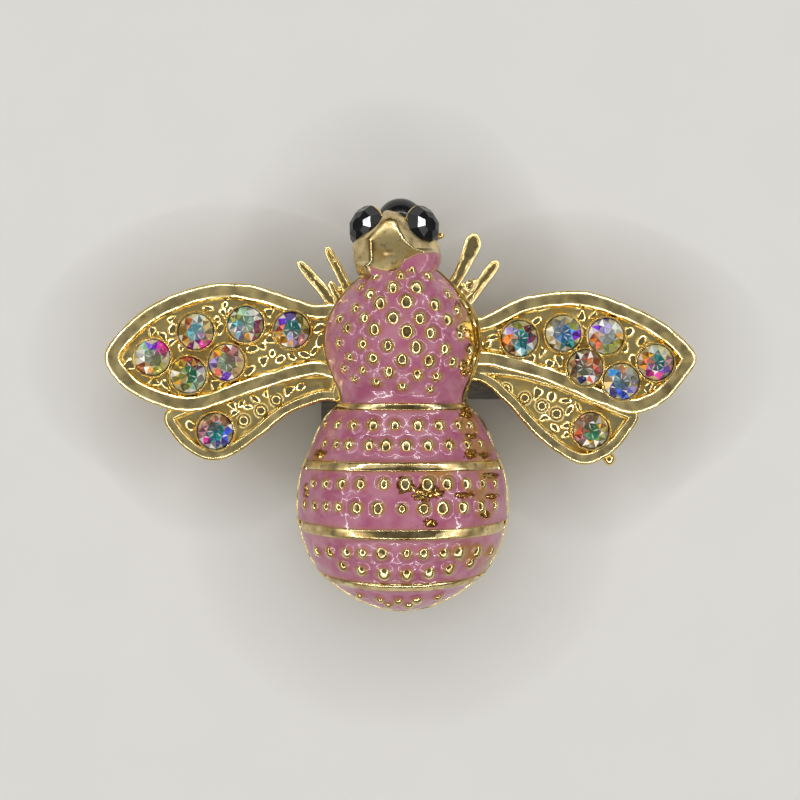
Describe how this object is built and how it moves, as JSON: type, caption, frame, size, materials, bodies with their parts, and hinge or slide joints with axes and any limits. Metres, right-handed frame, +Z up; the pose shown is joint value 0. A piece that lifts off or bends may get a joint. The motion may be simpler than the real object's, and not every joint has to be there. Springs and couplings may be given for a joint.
{
  "type": "insect brooch",
  "caption": "Bee brooch: gold-plated cast body and wings, pink enamel round raised studs and bands, iridescent stones in the wings, black faceted eyes, pin fitting on the back.",
  "frame": {"origin": "under the middle of the outline, on the surface that the brooch rests on", "axes": "+X from wing tip to wing tip, towards the bee's right side in the picture; +Y towards the head; +Z up out of the face"},
  "size_m": [0.036, 0.0251, 0.0086],
  "materials": {
    "gold_plate": "bright pale gold plating on a zinc casting",
    "pink_enamel": "glossy mauve pink enamel",
    "black_enamel": "glossy black enamel",
    "jet_glass": "polished opaque black glass with cut facets",
    "iridescent_glass": "foil-backed cut glass with an iridescent coating",
    "pin_steel": "plain grey plated steel"
  },
  "bodies": {
    "root": {"casting": "gold_plate", "thorax_enamel": "pink_enamel", "abdomen_enamel_1": "pink_enamel", "abdomen_enamel_2": "pink_enamel", "abdomen_enamel_3": "pink_enamel", "abdomen_enamel_4": "pink_enamel", "face_enamel": "black_enamel", "eye_left": "jet_glass", "eye_right": "jet_glass", "left_stone_1": "iridescent_glass", "left_stone_2": "iridescent_glass", "left_stone_3": "iridescent_glass", "left_stone_4": "iridescent_glass", "left_stone_5": "iridescent_glass", "left_stone_6": "iridescent_glass", "left_hind_stone": "iridescent_glass", "right_stone_1": "iridescent_glass", "right_stone_2": "iridescent_glass", "right_stone_3": "iridescent_glass", "right_stone_4": "iridescent_glass", "right_stone_5": "iridescent_glass", "right_stone_6": "iridescent_glass", "right_hind_stone": "iridescent_glass", "pin_back": "pin_steel"}
  },
  "joints": []
}
